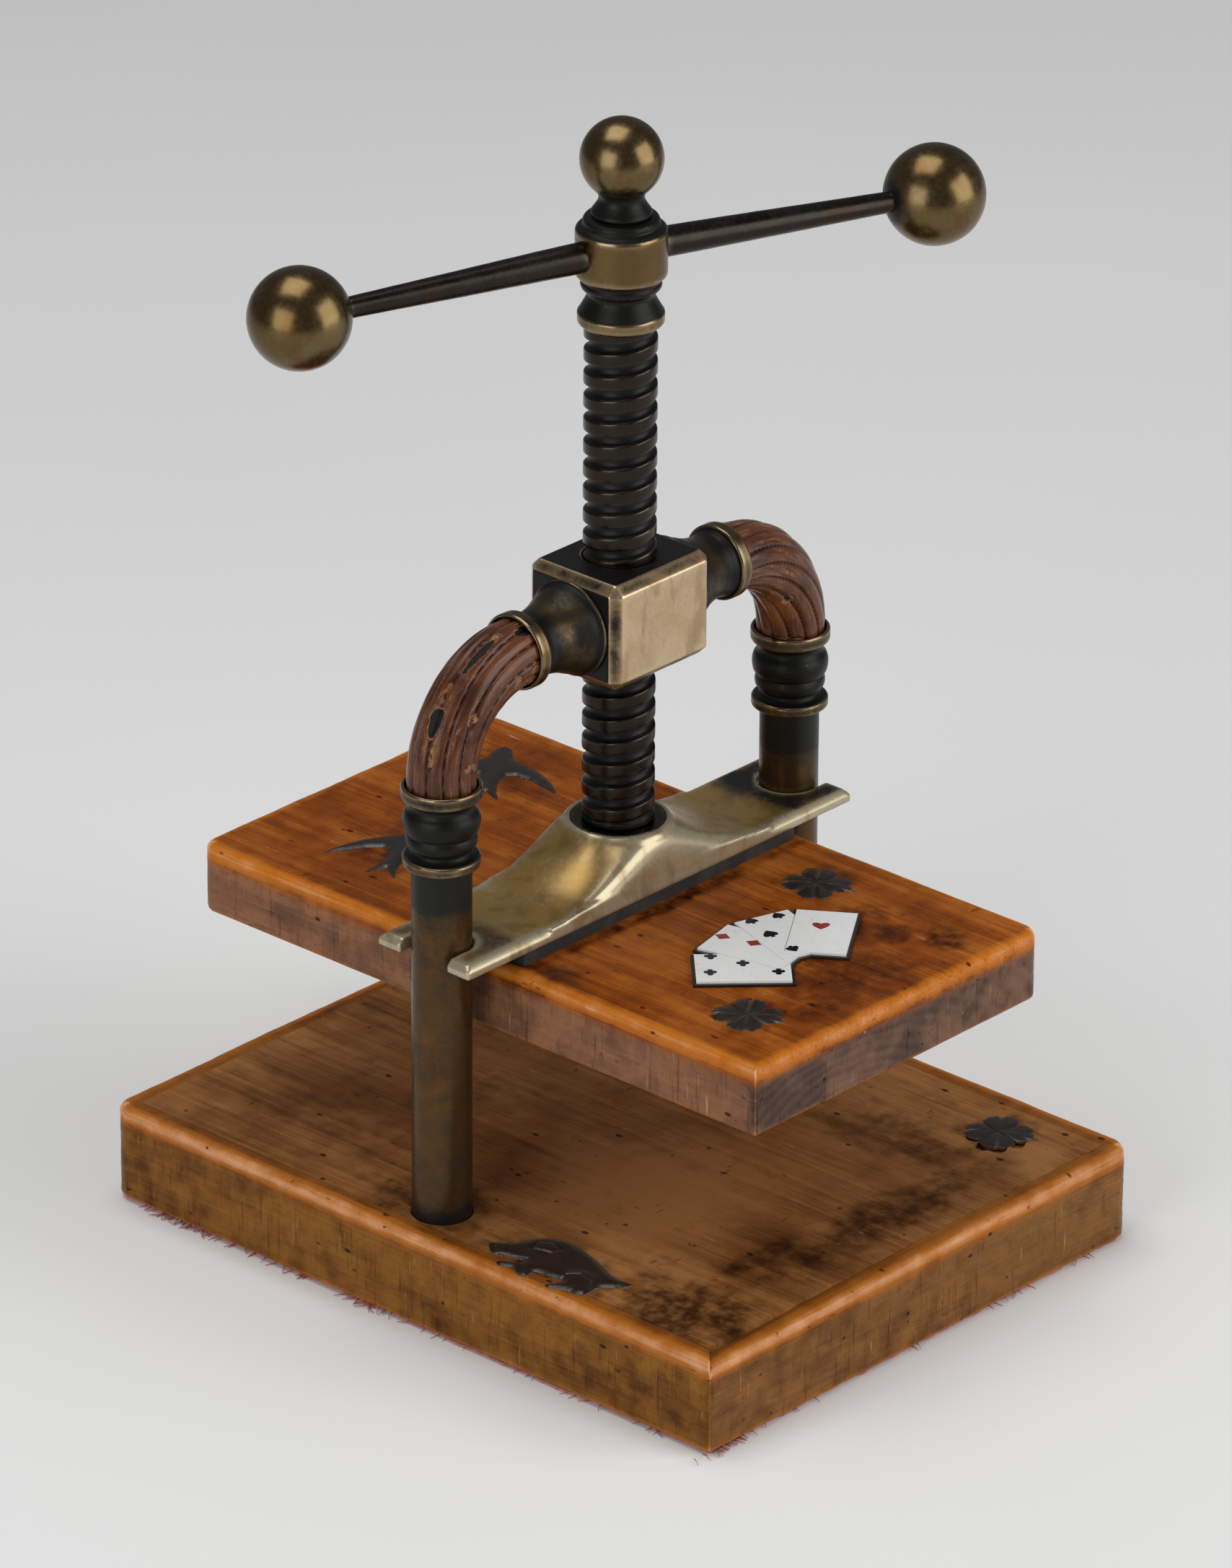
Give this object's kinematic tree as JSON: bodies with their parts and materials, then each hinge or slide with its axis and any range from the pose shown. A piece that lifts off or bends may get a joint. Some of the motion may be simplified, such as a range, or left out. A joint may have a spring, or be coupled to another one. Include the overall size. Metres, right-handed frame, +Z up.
{
  "type": "playing card press",
  "caption": "antique playing card press: brass columns and square-thread screw on a wooden base, inlaid pressing board under a brass bridge",
  "frame": {"origin": "bottom centre of the bounding box, under the screw's axis", "axes": "+Z up, X across the two columns, Y along the boards, front at -Y"},
  "size_m": [0.2012, 0.217, 0.3171],
  "materials": {
    "aged_brass": "aged satin, dark in the recesses",
    "dark_bronze": "near-black patina, worn on the crests",
    "dark_steel": "tarnished",
    "base_wood": "worn varnish, bright rubbed edges",
    "platen_wood": "polished, stained round the inlays",
    "painted_wood": "dark red-brown paint, chipped",
    "dark_shim": "matt",
    "dark_inlay": "domed, glossy",
    "enamel": "glossy enamel with painted pips",
    "baize": "napped, frayed at the edge"
  },
  "bodies": {
    "frame": {"base_panel": "base_wood", "base_strip_front": "base_wood", "base_strip_back": "base_wood", "base_strip_left": "base_wood", "base_strip_right": "base_wood", "base_baize": "baize", "column_left": "aged_brass", "column_right": "aged_brass", "column_nuts": "dark_steel", "column_washers": "dark_steel", "column_collar_left": "aged_brass", "column_collar_right": "aged_brass", "elbow_core_left": "dark_bronze", "elbow_core_right": "dark_bronze", "elbow_sleeve_left": "painted_wood", "elbow_sleeve_right": "painted_wood", "nut_boss_left": "aged_brass", "nut_boss_right": "aged_brass", "nut_block": "aged_brass", "pig_inlay": "dark_inlay", "base_clover_inlay": "dark_inlay"},
    "platen": {"platen_board": "platen_wood", "bridge_shim": "dark_shim", "bridge": "aged_brass", "keeper_half_front": "aged_brass", "keeper_half_back": "aged_brass", "thrust_pad": "aged_brass", "bridge_bolts": "dark_steel", "swallow_inlay_left": "dark_inlay", "swallow_inlay_right": "dark_inlay", "clover_inlay_front": "dark_inlay", "clover_inlay_back": "dark_inlay", "card_plate": "dark_inlay", "enamel_card_clubs": "enamel", "enamel_card_diamonds": "enamel", "enamel_card_spades": "enamel", "enamel_card_heart": "enamel"},
    "screw": {"press_screw": "dark_bronze", "screw_head": "aged_brass", "finial_knob": "aged_brass", "handle_arm_left": "dark_bronze", "handle_arm_right": "dark_bronze", "handle_ball_left": "aged_brass", "handle_ball_right": "aged_brass"}
  },
  "joints": [
    {"name": "platen_travel", "type": "slide", "parent": "frame", "child": "platen", "axis": [0, 0, 1], "range_m": [-0.0511, 0.022]},
    {"name": "screw_turn", "type": "hinge", "parent": "platen", "child": "screw", "pos_m": [0, 0, 0.1802], "axis": [0, 0, 1], "range_deg": [-2820, 1200]}
  ],
  "couplings": [
    {"joint": "platen_travel", "follows": "screw_turn", "m_per_rad": 0.0010345}
  ]
}
